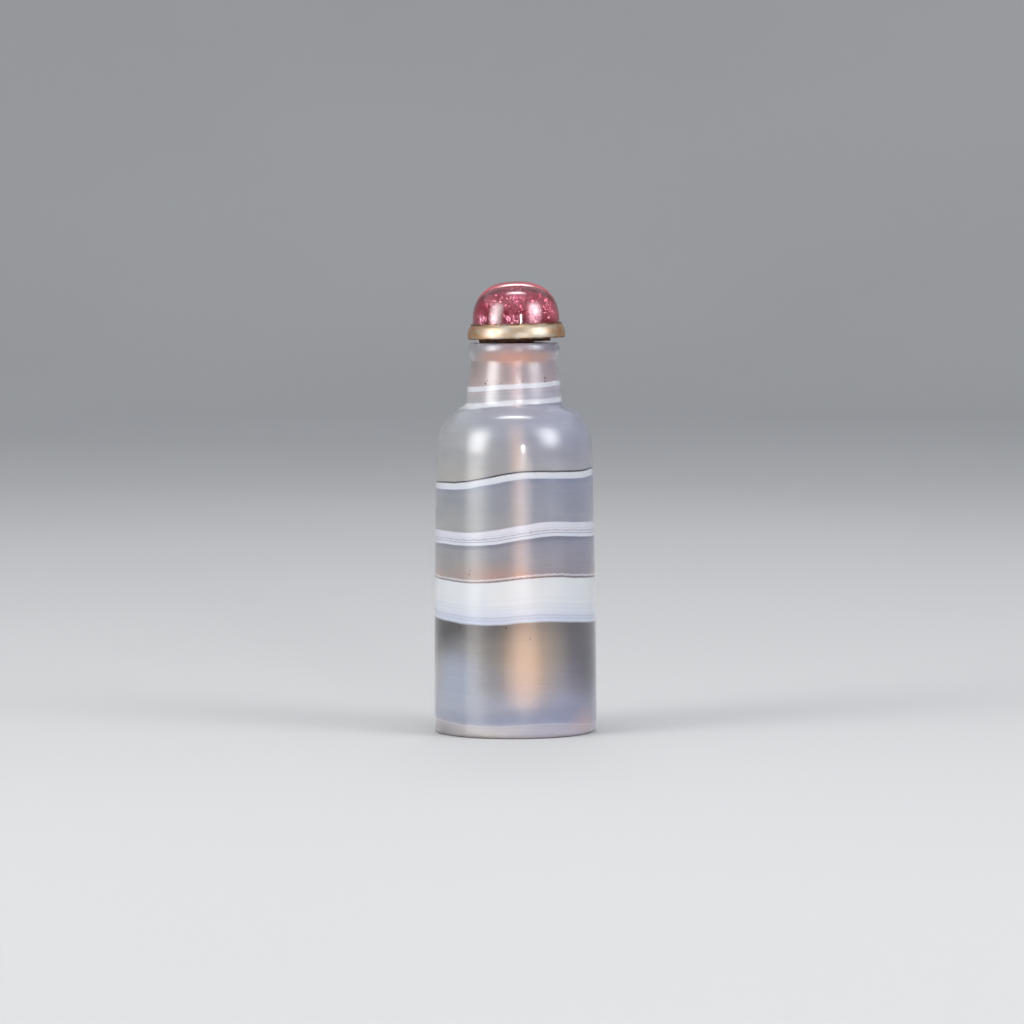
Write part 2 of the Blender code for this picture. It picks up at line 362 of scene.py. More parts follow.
def level_group():
    tree, given, result = group("agate level", [("Point", "vector")], [("Level", "value")])
    point = given["Point"]
    x, y, z = put(tree, "ShaderNodeSeparateXYZ", {0: point}).outputs
    behind = calc(tree, "ADD", y, FRONT)
    moved = calc(tree, "ADD", x, along_height(tree, z, WAVE_START))
    phase = calc(tree, "MULTIPLY", moved, 2 * pi / WAVE_LENGTH)
    phase = calc(tree, "MULTIPLY_ADD", behind, WAVE_TWIST, phase)
    wave = calc(tree, "MULTIPLY", calc(tree, "SINE", phase), along_height(tree, z, WAVE_SWAY))
    tilt = calc(tree, "MULTIPLY", x, along_height(tree, z, WAVE_TILT))
    rise = calc(tree, "MULTIPLY", behind, WAVE_RISE)
    level = z
    for part in (wave, tilt, rise):
        level = calc(tree, "SUBTRACT", level, part)
    for scale, detail, drift in UNEVEN:
        uneven = calc(tree, "MULTIPLY_ADD", grain(tree, point, scale, detail), 2 * drift, -drift)
        level = calc(tree, "ADD", level, uneven)
    tree.links.new(level, result["Level"])
    return tree


LEVEL = level_group()
print(LEVEL.name, "has", len(LEVEL.nodes), "nodes")


# %% The band group
def band_group():
    """A band between two levels, with its own softness below and above, in millimetres. Mask is 1 inside
    it, and Depth goes from 0 at its foot to 1 at its top."""
    inputs = [(name, "value") for name in ("Level", "Foot", "Top", "Foot blur", "Top blur")]
    tree, given, result = group("agate band", inputs, [("Mask", "value"), ("Depth", "value")])
    ways = []
    for edge, blur, over in (("Foot", "Foot blur", True), ("Top", "Top blur", False)):
        half = calc(tree, "MULTIPLY", given[blur], 0.5)
        low = calc(tree, "SUBTRACT", given[edge], half)
        high = calc(tree, "ADD", given[edge], half)
        ways.append(ramp(tree, given["Level"], low, high, 0.0 if over else 1.0, 1.0 if over else 0.0))
    tree.links.new(calc(tree, "MULTIPLY", *ways), result["Mask"])
    tree.links.new(ramp(tree, given["Level"], given["Foot"], given["Top"], smooth=False), result["Depth"])
    return tree


BAND = band_group()
print(BAND.name, "has", len(BAND.nodes), "nodes")

# %% [markdown]
# The colour of the agate
#
# In the clear stone the colour drifts with the level, from bluish milk near the foot through smoky
# brown under the broad white band to grey above. A salmon stain lies on the broad band. The white bands
# have their own fine structure: thin grey sheets, a dark line along an edge, a thin zigzag seam. All of
# it is a function of the level, so it follows the same wave. The outer skin and the walls of the hollow
# share it, so it is a node group.

# %% Colours by level
CLEAR_STONE = (              # level in mm, then the colour there
    (0.0, srgb(218, 210, 212)),
    (1.6, srgb(222, 217, 220)),
    (2.7, srgb(174, 181, 203)),
    (5.0, srgb(186, 189, 203)),
    (9.0, srgb(172, 169, 174)),
    (14.0, srgb(140, 133, 129)),
    (17.6, srgb(108, 103, 102)),
    (25.1, srgb(176, 166, 166)),
    (27.2, srgb(174, 170, 173)),
    (29.6, srgb(168, 168, 177)),
    (30.4, srgb(140, 142, 158)),
    (33.5, srgb(178, 180, 184)),
    (38.6, srgb(168, 172, 182)),
    (39.5, srgb(154, 160, 178)),
    (41.0, srgb(188, 187, 187)),
    (47.0, srgb(182, 185, 193)),
    (50.8, srgb(172, 175, 186)),
    (52.4, srgb(200, 198, 204)),
    (54.8, srgb(196, 178, 176)),
    (58.0, srgb(188, 172, 172)),
    (59.5, srgb(152, 150, 158)),
    (61.0, srgb(166, 164, 174)),
)
WHITE_BANDS = (              # foot and top in mm, blur of each, colour near the foot and near the top
    (17.92, 24.50, 0.40, 0.10, srgb(222, 230, 250), srgb(237, 242, 255)),
    (30.56, 32.73, 0.16, 0.12, srgb(234, 238, 252), srgb(232, 235, 248)),
    (39.63, 40.62, 0.18, 0.08, srgb(228, 234, 252), srgb(234, 239, 252)),
    (51.28, 52.04, 0.22, 0.30, srgb(236, 240, 252), srgb(238, 240, 250)),
    (53.79, 54.54, 0.22, 0.26, srgb(232, 237, 250), srgb(236, 238, 248)),
)
SEAMS = (                    # level, half width, wiggle in mm, strength, colour
    (24.62, 0.12, 0.26, 0.85, srgb(92, 76, 92)),
    (24.93, 0.19, 0.22, 0.78, srgb(242, 236, 242)),
    (40.75, 0.19, 0.05, 0.97, srgb(10, 10, 20)),
    (31.50, 0.10, 0.36, 0.68, srgb(122, 116, 132)),
    (31.10, 0.10, 0.08, 0.62, srgb(124, 122, 140)),
    (31.86, 0.08, 0.10, 0.22, srgb(150, 152, 166)),
    (20.60, 0.26, 0.04, 0.14, srgb(176, 184, 206)),
    (20.10, 0.26, 0.04, 0.12, srgb(176, 184, 206)),
    (21.50, 0.32, 0.04, 0.08, srgb(190, 198, 216)),
    (18.95, 0.18, 0.04, 0.30, srgb(150, 156, 178)),
    (18.55, 0.20, 0.04, 0.24, srgb(158, 162, 182)),
    (2.05, 0.13, 0.05, 0.45, srgb(240, 238, 244)),
    (53.45, 0.10, 0.05, 0.25, srgb(226, 224, 234)),
    (51.05, 0.14, 0.05, 0.45, srgb(120, 122, 138)),
)
print("white bands:", len(WHITE_BANDS), "and seams:", len(SEAMS))

# %% Colours by place
TINTS = (                    # place in mm, reach up and down, reach about, strength, colour
    ((-9.5, -8.5, 9.0), 9.0, 7.5, 0.75, srgb(186, 198, 222)),
    ((12.0, -3.5, 11.5), 11.5, 11.5, 1.00, srgb(82, 79, 92)),
    ((-11.5, -5.0, 16.8), 5.5, 8.5, 1.00, srgb(52, 50, 52)),
    ((2.6, -11.4, 12.5), 11.5, 7.5, 0.80, srgb(204, 180, 156)),
    ((-3.5, -11.5, 25.2), 2.6, 9.5, 0.75, srgb(198, 160, 142)),
    ((3.0, -12.5, 25.1), 1.0, 6.0, 0.60, srgb(204, 160, 140)),
    ((-11.5, -4.0, 25.2), 1.4, 5.0, 0.55, srgb(200, 164, 148)),
    ((12.5, -2.0, 25.2), 0.9, 4.5, 0.55, srgb(198, 160, 146)),
    ((-7.0, -3.0, 57.0), 4.0, 4.5, 0.70, srgb(150, 138, 136)),
    ((-11.5, -6.0, 0.4), 3.2, 9.5, 0.85, srgb(146, 142, 148)),
    # The next three, at the front of the lip, are painted light: the warm glow of the cork plug, seen through
    # the stone.
    ((0.2, -6.6, 58.7), 1.8, 8.6, 0.90, srgb(218, 174, 158)),
    ((-3.4, -5.8, 58.9), 1.4, 3.8, 0.65, srgb(216, 168, 152)),
    ((3.9, -5.5, 58.9), 1.4, 3.8, 0.65, srgb(216, 168, 152)),
    ((11.2, -6.5, 2.0), 3.2, 6.5, 0.60, srgb(220, 188, 182)),
)
SPECKS = (                   # place in mm, radius in mm
    ((-4.43, -5.72, 54.72), 0.26),
    ((-4.20, -5.80, 55.20), 0.18),
    ((-2.10, -6.92, 54.75), 0.14),
    ((1.31, -7.05, 55.06), 0.16),
    ((4.81, -5.23, 55.56), 0.24),
    ((4.80, -5.32, 55.02), 0.20),
    ((-7.10, -10.39, 25.40), 0.20),
    ((-6.94, -10.49, 25.98), 0.15),
    ((-8.54, -9.36, 17.02), 0.22),
    ((-1.41, -12.59, 17.25), 0.22),
    ((2.28, -12.48, 15.53), 0.16),
    ((6.20, -11.00, 14.30), 0.12),
)
SPECK_COLOUR = srgb(46, 32, 32)
print("tints:", len(TINTS), "and specks:", len(SPECKS))


# %% The clear stone
WARM_SIDE, COOL_SIDE = (1.05, 1.03, 0.96), (0.93, 0.92, 1.04)      # what the left and right are multiplied by
CLOUDY = (0.84, 0.86, 0.90)                                        # the same for the darkest of its clouds
SIDE_REACH = 11.0                                                  # where the sides begin, in mm
FINEST_SHEETS = (0.91, 1.07)                                       # how much they darken and lighten it


def clear_stone(tree, point, level, x):
    colour = None
    for (low, under), (high, over) in zip(CLEAR_STONE, CLEAR_STONE[1:]):
        colour = mix(tree, ramp(tree, level, low, high), colour or under, over)
    side = mix(tree, ramp(tree, x, -SIDE_REACH, SIDE_REACH), WARM_SIDE, COOL_SIDE)
    colour = mix(tree, 1.0, colour, side, blend="MULTIPLY")
    cloud = ramp(tree, grain(tree, stretch(tree, point, (0.10, 0.10, 0.22)), 1.0, 3.0), 0.3, 0.7)
    colour = mix(tree, cloud, colour, mix(tree, 1.0, colour, CLOUDY, blend="MULTIPLY"))
    for place, upright, radius, strength, tone in TINTS:
        tint = calc(tree, "MULTIPLY", near(tree, point, place, upright, radius, 1.0), strength)
        colour = mix(tree, tint, colour, tone)
    sheets = put(tree, "ShaderNodeCombineXYZ", {0: calc(tree, "MULTIPLY", x, 0.02), 2: level}).outputs[0]
    fine = ramp(tree, grain(tree, sheets, 3.4, 4.0, 0.75), 0.28, 0.72, *FINEST_SHEETS, smooth=False)
    shade = put(tree, "ShaderNodeCombineColor", {0: fine, 1: fine, 2: fine}).outputs[0]
    return mix(tree, 1.0, colour, shade, blend="MULTIPLY")


print("colours by level:", len(CLEAR_STONE))


# %% The sheets and marks in it
def seam(tree, level, at, half_width, wiggle, point):
    """A mask for a thin sheet at a level. The sheet wanders up and down by its wiggle."""
    wander = calc(tree, "MULTIPLY_ADD", grain(tree, point, 2.2, 5.0, 0.72), 2 * wiggle, -wiggle - at)
    away = calc(tree, "ABSOLUTE", calc(tree, "ADD", level, wander))
    return ramp(tree, away, half_width * 0.3, half_width, 1.0, 0.0)


def wheel_marks(tree, x, z):
    """The height of the marks that the turning wheel left. They run round, they are finer than the eye
    sees one by one, they are polished away on the shoulder, and they are coarser low down."""
    turning = put(tree, "ShaderNodeCombineXYZ", {0: calc(tree, "MULTIPLY", x, 0.03), 2: z}).outputs[0]
    broad = grain(tree, turning, 4.5, 2.0, 0.8)
    marks = calc(tree, "MULTIPLY_ADD", broad, 0.3, grain(tree, turning, 26.0, 1.0, 0.6))
    shoulder = calc(tree, "MULTIPLY", ramp(tree, z, 41.0, 45.5), ramp(tree, z, 51.0, 53.0, 1.0, 0.0))
    marks = calc(tree, "MULTIPLY", marks, ramp(tree, shoulder, 0.0, 1.0, 1.0, 0.12, smooth=False))
    return calc(tree, "MULTIPLY", marks, ramp(tree, z, 8.0, 32.0, 1.4, 1.0))


print("the finest sheets are", 2 * min(row[1] for row in SEAMS), "mm thick")


# %% The agate group
def agate_group():
    tree, given, result = group("agate stone", [("Point", "vector")],
                                [("Colour", "colour"), ("White", "value"), ("Height", "value")])
    point = given["Point"]
    x, _, z = put(tree, "ShaderNodeSeparateXYZ", {0: point}).outputs
    level = use(tree, LEVEL, {"Point": point})["Level"]
    colour = clear_stone(tree, point, level, x)
    whites = 0.0
    for foot, top, foot_blur, top_blur, low_white, high_white in WHITE_BANDS:
        band = use(tree, BAND, {"Level": level, "Foot": foot, "Top": top,
                                "Foot blur": foot_blur, "Top blur": top_blur})
        white = mix(tree, ramp(tree, band["Depth"], 0.05, 0.45), low_white, high_white)
        colour = mix(tree, band["Mask"], colour, white)
        whites = calc(tree, "MAXIMUM", whites, band["Mask"])
    for at, half_width, wiggle, strength, tone in SEAMS:
        line = calc(tree, "MULTIPLY", seam(tree, level, at, half_width, wiggle, point), strength)
        colour = mix(tree, line, colour, tone)
    for place, radius in SPECKS:
        spot = calc(tree, "MULTIPLY", near(tree, point, place, radius, radius, 0.6), 0.9)
        colour = mix(tree, spot, colour, SPECK_COLOUR)
    tree.links.new(colour, result["Colour"])
    tree.links.new(whites, result["White"])
    tree.links.new(wheel_marks(tree, x, z), result["Height"])
    return tree


AGATE_STONE = agate_group()
print(AGATE_STONE.name, "has", len(AGATE_STONE.nodes), "nodes")

# %% [markdown]
# The agate's shader
#
# Polished agate glows because light enters, scatters and comes out elsewhere. A volume full of motes
# would do that truly and take hours. Two lobes share the work here. Subsurface is the milk that sends
# light back. A blurred, plain Transmission is the clear part that lets the bone spoon and the cork show
# through as soft warm shapes. The white bands are made so rough that nothing shows through them. A
# clear coat on top is the polish, and the fine marks of the turning wheel stretch every highlight up
# and down.

# %% Agate outside and in
AGATE_IOR = 1.54
WHITE_ROUGHNESS = 0.9        # of light that goes into a white band
MARK_DEPTH = 0.0125 * MM     # of the wheel's marks
MILK_DEPTH = 0.4 * MM        # how far light wanders in the milk


def agate_material(name, milk, clear, roughness, polish):
    made, tree, shader = new_material(name, (0.4, 0.4, 0.43))
    stone = use(tree, AGATE_STONE, {"Point": millimetres(tree)})
    rough = ramp(tree, stone["White"], 0.0, 1.0, roughness, WHITE_ROUGHNESS, smooth=False)
    fill(tree, shader, {
        "Base Color": stone["Colour"], "Roughness": rough, "IOR": AGATE_IOR, "Transmission Weight": clear,
        "Subsurface Weight": milk, "Subsurface Radius": (1.0, 0.95, 0.9), "Subsurface Scale": MILK_DEPTH})
    if polish:
        height = {"Height": stone["Height"], "Strength": 1.0, "Distance": MARK_DEPTH}
        marks = put(tree, "ShaderNodeBump", height).outputs[0]
        fill(tree, shader, {"Coat Weight": 1.0, "Coat Roughness": 0.03, "Coat IOR": AGATE_IOR,
                            "Normal": marks, "Coat Normal": marks})
    return made


AGATE = agate_material("banded_agate_stone", milk=1.0, clear=0.45, roughness=0.34, polish=True)
AGATE_INSIDE = agate_material("banded_agate_hollow", milk=0.0, clear=1.0, roughness=0.25, polish=False)
print("agate:", AGATE.name, "and", AGATE_INSIDE.name)

# %% [markdown]
# The bottle
#
# An outside and an inside could be two shells, but they would need a seam at the lip. Here one outline
# runs from the underside up the outside, over the lip, and down the bore and the hollow.
# One turn of it makes a shell of the true thickness, with the hollow open only through its mouth. The
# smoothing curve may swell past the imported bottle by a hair, so its radius is held to the widest that
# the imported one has. The walls of the bore and hollow aren't polished, so they have a material of
# their own.

# %% Turn the bottle
UPRIGHT = Matrix.Identity(4)
packed_bottle = packed_outline("bottle", UPRIGHT)
WIDEST = max(radius for radius, _ in packed_bottle)
bottle_outline = [(min(radius, WIDEST), height) for radius, height in smooth_outline(packed_bottle, 4)]
bottle = turned_piece("agate_bottle", bottle_outline, 192, UPRIGHT, AGATE,
                      wobble=0.02 * MM, wobble_size=9 * MM)
bottle.data.materials.append(AGATE_INSIDE)
LOW_DOWN = 10 * MM           # a face below this that looks up is the hollow's floor
inner_faces = 0
for face in bottle.data.polygons:
    outwards = face.normal.x * face.center.x + face.normal.y * face.center.y
    on_floor = face.normal.z > 0.3 and face.center.z < LOW_DOWN
    if outwards < -1e-6 or on_floor:
        face.material_index = 1
        inner_faces += 1
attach(bottle, "root")
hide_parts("bottle")
print("faces on the hollow:", inner_faces)

# %% [markdown]
# The cabochon
#
# A cabochon is a stone ground to a smooth dome, without facets. This one is pink tourmaline: clear, but
# full of veils and needles. Its pink comes from two things, a tint where light goes in and out, and an
# absorption that swallows green and blue along the way, so that a long way through the stone is deeper
# in colour than a short one. A thin second gloss is the hand polish over the faintly rubbed surface.
# The setting throws light back up into the stone, and most of it leaves near the foot. So the faces
# inside the collar have a material of their own that glows pink, more so towards the rim.

# %% The stone's clear part
TOURMALINE_IOR = 1.63
DENSITY = 290.0              # of the absorption, per metre
SWALLOWED = (0.80, 0.20, 0.37)


def tourmaline_material():
    made, tree, shader = new_material("pink_tourmaline_stone", (0.7, 0.15, 0.3))
    point = millimetres(tree)
    zone = ramp(tree, grain(tree, point, 0.34, 3.0, 0.6), 0.38, 0.60)
    streaks = grain(tree, stretch(tree, point, (0.9, 0.9, 1.6)), 1.0, 5.0, 0.7, 1.2)
    fill(tree, shader, {
        "Base Color": mix(tree, zone, (0.80, 0.30, 0.42), (0.94, 0.48, 0.62)),
        "Roughness": ramp(tree, streaks, 0.45, 0.7, 0.05, 0.15), "IOR": TOURMALINE_IOR,
        "Transmission Weight": 1.0, "Coat Weight": 0.4, "Coat Roughness": 0.09, "Coat IOR": 1.6})
    absorb = put(tree, "ShaderNodeVolumeAbsorption", {"Color": (*SWALLOWED, 1.0), "Density": DENSITY})
    fill(tree, tree.nodes["Material Output"], {"Volume": absorb.outputs[0]})
    return made


TOURMALINE = tourmaline_material()
STOPPER = turning_frame("stopper_cabochon")
lean = degrees(STOPPER.to_quaternion().to_matrix().col[2].angle(Vector((0, 0, 1))))
print("the stopper leans by", round(lean, 2), "degrees")

# %% The stone's seat in the collar
GLOW_FROM, GLOW_TO = 4.1, 6.7    # mm from the stone's axis, where its foot begins to glow and glows most


def seat_material(axis):
    """The part of the stone that sits in the collar. axis is where the stone's axis stands, in mm."""
    made, tree, shader = new_material("pink_tourmaline_seat", (0.8, 0.4, 0.5))
    point = millimetres(tree)
    patchy = ramp(tree, grain(tree, point, 0.9, 4.0, 0.65), 0.35, 0.65, 0.55, 1.0)
    ring = ramp(tree, from_axis(tree, point, axis), GLOW_FROM, GLOW_TO, 0.0, 1.0)
    ring = calc(tree, "MULTIPLY", ring, patchy)
    glow = mix(tree, ring, (0.06, 0.015, 0.025), (1.0, 0.50, 0.60))
    fill(tree, shader, {
        "Base Color": mix(tree, ring, (0.5, 0.2, 0.3), (0.9, 0.6, 0.66)), "Roughness": 0.5,
        "IOR": TOURMALINE_IOR, "Transmission Weight": 0.6, "Emission Color": glow, "Emission Strength": 0.95})
    return made


SEAT = seat_material(STOPPER.translation / MM)
print("the foot glows from", GLOW_FROM, "to", GLOW_TO, "mm")

# %% Turn the cabochon
SEAT_TOP = 0.45 * MM         # how far up the stone the collar covers it
packed_stone = packed_outline("stopper_cabochon", STOPPER)
cabochon = turned_piece("tourmaline_cabochon", smooth_outline(packed_stone, 5), 128, STOPPER, TOURMALINE,
                        wobble=0.03 * MM, wobble_size=6 * MM)
cabochon.data.materials.append(SEAT)
to_stone = STOPPER.inverted()
for face in cabochon.data.polygons:
    if (to_stone @ face.center).z < SEAT_TOP:
        face.material_index = 1
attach(cabochon, "root")
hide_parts("stopper_cabochon")

# %% [markdown]
# What the tourmaline holds
#
# The flaws inside a stone are healed cracks: films of tiny drops, drawn out into threads, veils as fine
# as milk, and a few needles and flat flakes. Drawn on the surface they would lie on the stone, not in
# it, and would not shift as the eye moves. The films here are one thin shell a little under the skin,
# and a mask of specks, threads and haze leaves only the film's drops. The needles and flakes are small
# solids. All of them catch the light, so they are pale and shine a little by themselves. Two milky
# patches in the shell glow white where the lamps' highlights fall on the dome: painted highlights.

# %% Where the films lie
FILMS = (                    # middle in the stone's own mm (right, back, up), radius in mm, strength
    ((0.3, -4.6, 4.6), 3.2, 0.75),
    ((-4.2, -4.6, 4.1), 1.9, 0.95),
    ((5.3, -3.2, 2.8), 2.0, 1.00),
    ((3.2, -5.2, 3.2), 1.9, 0.70),
    ((-5.4, -3.4, 1.5), 1.9, 0.75),
    ((-0.8, -6.0, 1.4), 1.9, 0.90),
    ((2.8, -5.6, 1.2), 2.2, 0.60),
    ((0.0, -6.0, 2.6), 2.2, 0.50),
    ((1.8, 5.0, 3.4), 2.8, 0.60),
    ((-4.6, 3.6, 2.2), 2.4, 0.50),
)
MILKY_PAINTED_HIGHLIGHTS = (                     # milky veils that glow white where the lamps' highlights fall, as painted highlights: middle, half width, half height, strength
    ((2.7, -5.6, 2.3), 1.8, 2.7, 0.85),
    ((-3.5, -5.3, 1.8), 1.1, 1.6, 0.9),
)


def spots(tree, point, rows):
    """The strongest of several round masks. Each row is middle, half width, half height, strength."""
    cover = 0.0
    for middle, half_width, half_height, strength in rows:
        place = tuple(STOPPER @ (Vector(middle) * MM) / MM)
        spot = near(tree, point, place, half_height, half_width, 0.9)
        cover = calc(tree, "MAXIMUM", cover, calc(tree, "MULTIPLY", spot, strength))
    return cover


print("films:", len(FILMS), "and milky veils:", len(MILKY_PAINTED_HIGHLIGHTS))

# %% Draw the films under the skin
UNDER_SKIN = 0.93            # size of the shell, as a share of the stone's


def film_material():
    made, tree, shader = new_material("tourmaline_film", (0.95, 0.8, 0.84))
    point = millimetres(tree)
    drops = ramp(tree, grain(tree, point, 4.5, 3.0, 0.7), 0.60, 0.66)
    folded = grain(tree, stretch(tree, point, (1.0, 1.0, 0.6)), 0.9, 6.0, 0.75, 0.5)
    folds = calc(tree, "ABSOLUTE", calc(tree, "SUBTRACT", folded, 0.5))
    broken = ramp(tree, grain(tree, point, 2.4, 2.0), 0.42, 0.58)
    threads = calc(tree, "MULTIPLY", ramp(tree, folds, 0.0, 0.026, 0.9, 0.0), broken)
    haze = ramp(tree, grain(tree, point, 1.3, 5.0, 0.7), 0.44, 0.70, 0.0, 0.7)
    film = calc(tree, "MAXIMUM", calc(tree, "MAXIMUM", drops, threads), haze)
    cover = spots(tree, point, [(middle, radius, radius, strength) for middle, radius, strength in FILMS])
    # Painted highlights: milky patches, placed where the lamps' highlights fall, that glow white.
    curds = ramp(tree, grain(tree, point, 1.9, 6.0, 0.75), 0.36, 0.62, 0.25, 1.0)
    milk = calc(tree, "MULTIPLY", spots(tree, point, MILKY_PAINTED_HIGHLIGHTS), curds)
    shown = calc(tree, "MAXIMUM", calc(tree, "MULTIPLY", film, cover), milk)
    veil = mix(tree, milk, (0.24, 0.13, 0.17), (0.42, 0.52, 0.48))
    fill(tree, shader, {
        "Base Color": mix(tree, drops, srgb(246, 190, 204), srgb(255, 246, 248)), "Roughness": 0.4,
        "Emission Color": mix(tree, drops, veil, (1.0, 0.96, 0.98)), "Emission Strength": 2.8,
        "Alpha": shown})
    return made


film_outline = [(radius * UNDER_SKIN, height * UNDER_SKIN)
                for radius, height in smooth_outline(packed_stone, 3) if height > SEAT_TOP]
films = turned_piece("tourmaline_films", film_outline, 96, STOPPER, film_material())
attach(films, "root")

# %% Where the needles and flakes gather
CLUSTERS = (                 # middle in the stone's own mm (right, back, up), spread, how many, kind
    ((-0.3, -4.7, 4.5), (1.9, 0.6, 0.40), 26, "flake"),
    ((4.5, -3.8, 2.7), (0.5, 0.6, 1.1), 26, "flake"),
    ((2.5, -5.1, 2.2), (1.0, 0.5, 1.2), 20, "flake"),
    ((-4.7, -3.5, 1.6), (0.8, 0.6, 0.7), 9, "needle"),
    ((-1.1, -5.6, 1.5), (0.7, 0.4, 0.6), 10, "needle"),
    ((-2.9, -4.5, 4.0), (0.8, 0.6, 0.6), 16, "flake"),
    ((0.1, -5.9, 1.3), (0.40, 0.2, 0.35), 12, "flake"),
    ((0.2, 0.0, 2.8), (3.4, 2.6, 1.6), 30, "flake"),
    ((1.8, 4.6, 3.0), (2.2, 0.8, 1.0), 24, "flake"),
)
print("needles and flakes in the stone:", sum(row[2] for row in CLUSTERS))


def flaw_material():
    made, tree, shader = new_material("tourmaline_flaw", (0.95, 0.8, 0.84))
    tone = ramp(tree, grain(tree, millimetres(tree), 1.5, 2.0), 0.35, 0.65)
    colour = mix(tree, tone, srgb(246, 206, 218), srgb(255, 248, 250))
    fill(tree, shader, {"Base Color": colour, "Roughness": 0.3,
                        "Emission Color": colour, "Emission Strength": 4.0})
    return made


# %% Scatter the needles and flakes
def flaws(seed):
    """One mesh with every needle and flake, in the stopper's frame. Each is a ball pressed to its half
    sizes in mm, with every corner moved in or out a little."""
    chance = random.Random(seed)
    work = bmesh.new()
    for middle, spread, count, kind in CLUSTERS:
        for _ in range(count):
            place = Vector(middle) + Vector([chance.gauss(0, 0.55) * s for s in spread])
            about, over = chance.uniform(0, pi), chance.uniform(0, pi)
            turn = Matrix.Rotation(about, 3, "Z") @ Matrix.Rotation(over, 3, "X")
            if kind == "needle":
                turn = Matrix.Rotation(chance.uniform(-0.9, 0.3), 3, "Y")
                half = Vector((0.02, 0.02, chance.uniform(0.2, 0.6)))
            else:
                size = chance.uniform(0.03, 0.14)
                half = Vector((size, size * chance.uniform(0.2, 0.7), size * 0.15))
            start = len(work.verts)
            bmesh.ops.create_icosphere(work, subdivisions=1, radius=1.0)
            work.verts.ensure_lookup_table()
            for vertex in work.verts[start:]:
                ball = Vector([a * b * chance.uniform(0.6, 1.3) for a, b in zip(vertex.co, half)])
                vertex.co = (place + turn @ ball) * MM
    work.transform(STOPPER)
    return add_piece("tourmaline_flaws", work, flaw_material())


flaws_piece = flaws(7)
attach(flaws_piece, "root")

# %% [markdown]
# The collar
#
# The collar is thin gilt metal, pressed up round the stone, with rounded edges that years of fingers
# have rubbed. Gold stays bright where it is handled. Towards both sides it has darkened to a copper
# brown, and in the middle it is rubbed to a silvery tone. Along its foot and under its brow it is darker
# again, partly grime and partly painted shade of the rolled edges.
# The imported collar's outline is kept, but drawn in towards both edges, because the real one's side is
# rolled. A little light comes down through the stone to the metal under it, which the renderer loses,
# so that part glows.

# %% The worn gilding
COLLAR_AT = (0.43, 0.0)      # where the collar's axis stands, right and back, in mm
COLLAR_SLOPE = -0.0227       # takes the stopper's lean out of a height, for each mm to the right
FOOT_SHADE_AND_GRIME = (61.65, 61.95)  # heights in mm at which the grime and painted shade of the foot fade
BROW_SHADE_AND_GRIME = (63.55, 63.9)


def gilt_material():
    made, tree, shader = new_material("worn_gilt_metal", (0.7, 0.52, 0.3))
    point = millimetres(tree)
    x, _, z = put(tree, "ShaderNodeSeparateXYZ", {0: point}).outputs
    drawn = stretch(tree, point, (1.0, 1.0, 2.2))
    worn = ramp(tree, grain(tree, drawn, 0.40, 3.0, 0.6), 0.42, 0.62)
    colour = mix(tree, worn, srgb(190, 166, 138), srgb(184, 174, 160))
    sides = ramp(tree, calc(tree, "ABSOLUTE", calc(tree, "SUBTRACT", x, 0.4)), 3.6, 7.6)
    copper = calc(tree, "MULTIPLY", sides, ramp(tree, grain(tree, drawn, 0.75, 4.0, 0.55), 0.34, 0.62))
    colour = mix(tree, calc(tree, "MULTIPLY", copper, 0.80), colour, srgb(206, 140, 80))
    speckle = ramp(tree, grain(tree, drawn, 2.4, 5.0, 0.75), 0.56, 0.74)
    colour = mix(tree, calc(tree, "MULTIPLY", speckle, 0.55), colour, srgb(124, 90, 60))
    # Darker along the foot and under the brow: grime, and painted shade of the rolled edges.
    level = calc(tree, "MULTIPLY_ADD", x, COLLAR_SLOPE, z)
    edges = calc(tree, "MAXIMUM", ramp(tree, level, *FOOT_SHADE_AND_GRIME, 1.0, 0.0), ramp(tree, level, *BROW_SHADE_AND_GRIME))
    grime_and_edge_shade = calc(tree, "MULTIPLY", edges, ramp(tree, grain(tree, point, 1.1, 3.0), 0.3, 0.6, 0.45, 0.9))
    colour = mix(tree, grime_and_edge_shade, colour, srgb(92, 54, 34))
    inner = ramp(tree, from_axis(tree, point, COLLAR_AT), 6.7, 6.95, 1.0, 0.0)
    lit = calc(tree, "MULTIPLY", inner, ramp(tree, z, 61.9, 62.3))
    dents = {"Height": grain(tree, point, 2.6, 4.0), "Strength": 0.35, "Distance": 0.04 * MM}
    fill(tree, shader, {
        "Base Color": colour, "Metallic": 1.0,
        "Roughness": ramp(tree, grain(tree, point, 3.0, 3.0), 0.3, 0.7, 0.36, 0.52),
        "Normal": put(tree, "ShaderNodeBump", dents).outputs[0],
        "Emission Color": mix(tree, lit, (0.0, 0.0, 0.0), (1.0, 0.72, 0.62)), "Emission Strength": 0.35})
    return made


GILT = gilt_material()
print("gilding:", GILT.name)

# %% Turn the collar
COLLAR_MIDDLE = -0.62 * MM   # height of its fullest line, in the stone's frame
COLLAR_HALF = 1.15 * MM      # from there to its edges
COLLAR_DRAWN_IN = 0.14 * MM  # how far the lower edge is drawn in
BROW_MORE = 2.2              # how many times as far the upper edge is
SIDE_FROM = 7.2 * MM         # what is further out than this is the collar's side
collar_outline = []
for radius, height in smooth_outline(packed_outline("stopper_collar", STOPPER), 6):
    share = (height - COLLAR_MIDDLE) / COLLAR_HALF
    drawn_in = COLLAR_DRAWN_IN * share * share * (BROW_MORE if share > 0 else 1.0)
    collar_outline.append((radius - (drawn_in if radius > SIDE_FROM else 0.0), height))
collar = turned_piece("gilt_collar", collar_outline, 144, STOPPER, GILT,
                      wobble=0.05 * MM, wobble_size=1.6 * MM)
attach(collar, "root")
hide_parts("stopper_collar")

